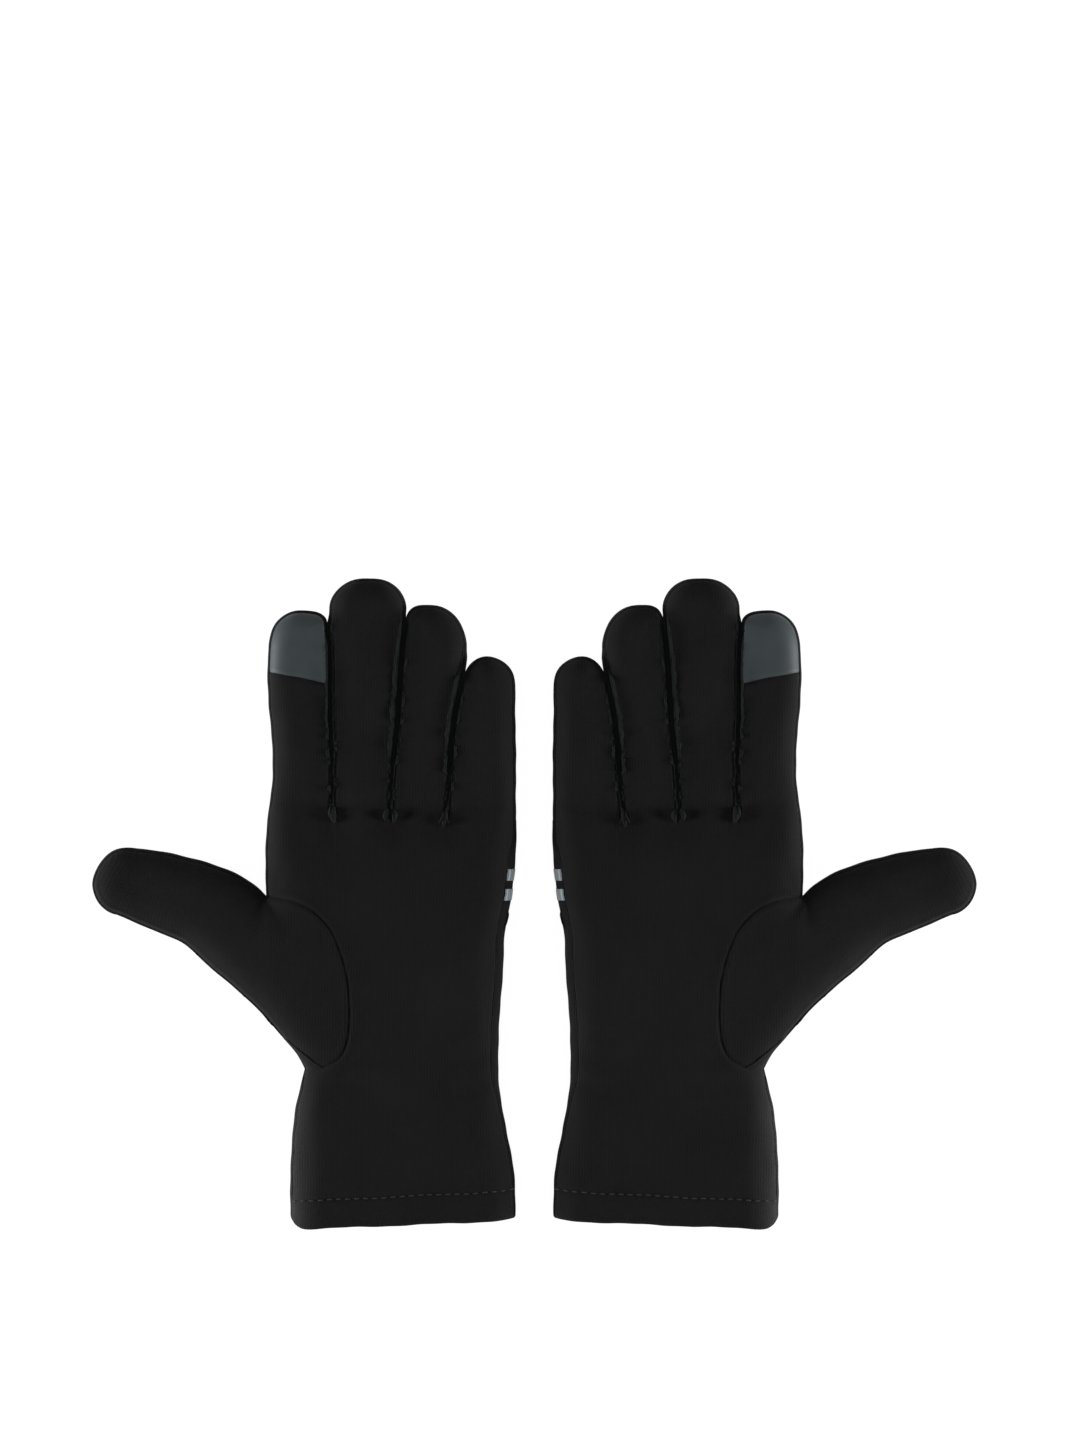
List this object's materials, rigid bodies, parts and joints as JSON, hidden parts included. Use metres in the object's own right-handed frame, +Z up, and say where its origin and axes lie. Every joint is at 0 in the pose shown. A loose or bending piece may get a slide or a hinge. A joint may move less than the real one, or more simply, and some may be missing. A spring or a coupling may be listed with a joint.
{
  "type": "touchscreen gloves",
  "caption": "Pair of knit touchscreen gloves lying palm up, with separate hinged fingers and thumbs, a conductive index fingertip panel and open hemmed cuffs.",
  "frame": {"origin": "on the table, midway between the two gloves and midway along them", "axes": "+X across the pair towards the right glove, +Y from the cuffs towards the fingertips, +Z up, towards the palm side"},
  "size_m": [0.3344, 0.245, 0.02],
  "materials": {
    "black_knit": "fine black stretch knit, matte",
    "hem_knit": "black stretch knit, turned and stitched",
    "side_strip_knit": "black stretch knit strip, matte",
    "touch_cloth": "slate grey conductive cloth, satin",
    "reflective_film": "light grey reflective film, satin"
  },
  "bodies": {
    "left_palm": {"left_palm_panel": "black_knit", "left_back_panel": "black_knit", "left_thumb_gusset": "black_knit", "left_cuff_hem": "hem_knit", "left_reflective_bars": "reflective_film", "left_crotch_gussets": "side_strip_knit"},
    "left_thumb": {"left_thumb_front": "black_knit", "left_thumb_back": "black_knit"},
    "left_index": {"left_index_front": "black_knit", "left_index_touch_tip": "touch_cloth", "left_index_back": "black_knit", "left_index_fourchette": "side_strip_knit"},
    "left_middle": {"left_middle_front": "black_knit", "left_middle_back": "black_knit", "left_middle_fourchettes": "side_strip_knit"},
    "left_ring": {"left_ring_front": "black_knit", "left_ring_back": "black_knit", "left_ring_fourchettes": "side_strip_knit"},
    "left_little": {"left_little_front": "black_knit", "left_little_back": "black_knit", "left_little_fourchette": "side_strip_knit"},
    "right_palm": {"right_palm_panel": "black_knit", "right_back_panel": "black_knit", "right_thumb_gusset": "black_knit", "right_cuff_hem": "hem_knit", "right_reflective_bars": "reflective_film", "right_crotch_gussets": "side_strip_knit"},
    "right_thumb": {"right_thumb_front": "black_knit", "right_thumb_back": "black_knit"},
    "right_index": {"right_index_front": "black_knit", "right_index_touch_tip": "touch_cloth", "right_index_back": "black_knit", "right_index_fourchette": "side_strip_knit"},
    "right_middle": {"right_middle_front": "black_knit", "right_middle_back": "black_knit", "right_middle_fourchettes": "side_strip_knit"},
    "right_ring": {"right_ring_front": "black_knit", "right_ring_back": "black_knit", "right_ring_fourchettes": "side_strip_knit"},
    "right_little": {"right_little_front": "black_knit", "right_little_back": "black_knit", "right_little_fourchette": "side_strip_knit"}
  },
  "joints": [
    {"name": "pair_apart", "type": "slide", "parent": "left_palm", "child": "right_palm", "axis": [1, 0, 0], "range_m": [0, 0.1]},
    {"name": "left_little_fold", "type": "hinge", "parent": "left_palm", "child": "left_little", "pos_m": [-0.01925, 0.035, 0.015], "axis": [1, 0, 0], "range_deg": [-20, 90]},
    {"name": "left_ring_fold", "type": "hinge", "parent": "left_palm", "child": "left_ring", "pos_m": [-0.04275, 0.035, 0.015], "axis": [1, 0, 0], "range_deg": [-20, 90]},
    {"name": "left_middle_fold", "type": "hinge", "parent": "left_palm", "child": "left_middle", "pos_m": [-0.06425, 0.035, 0.015], "axis": [1, 0, 0], "range_deg": [-20, 90]},
    {"name": "left_index_fold", "type": "hinge", "parent": "left_palm", "child": "left_index", "pos_m": [-0.08775, 0.035, 0.015], "axis": [1, 0, 0], "range_deg": [-20, 90]},
    {"name": "left_thumb_fold", "type": "hinge", "parent": "left_palm", "child": "left_thumb", "pos_m": [-0.10075, -0.024, 0.01824], "axis": [-0.1764, 0.9843, 0], "range_deg": [-20, 80]},
    {"name": "right_little_fold", "type": "hinge", "parent": "right_palm", "child": "right_little", "pos_m": [0.01925, 0.035, 0.015], "axis": [1, 0, 0], "range_deg": [-20, 90]},
    {"name": "right_ring_fold", "type": "hinge", "parent": "right_palm", "child": "right_ring", "pos_m": [0.04275, 0.035, 0.015], "axis": [1, 0, 0], "range_deg": [-20, 90]},
    {"name": "right_middle_fold", "type": "hinge", "parent": "right_palm", "child": "right_middle", "pos_m": [0.06425, 0.035, 0.015], "axis": [1, 0, 0], "range_deg": [-20, 90]},
    {"name": "right_index_fold", "type": "hinge", "parent": "right_palm", "child": "right_index", "pos_m": [0.08775, 0.035, 0.015], "axis": [1, 0, 0], "range_deg": [-20, 90]},
    {"name": "right_thumb_fold", "type": "hinge", "parent": "right_palm", "child": "right_thumb", "pos_m": [0.10075, -0.024, 0.01824], "axis": [-0.1764, -0.9843, 0], "range_deg": [-20, 80]}
  ]
}
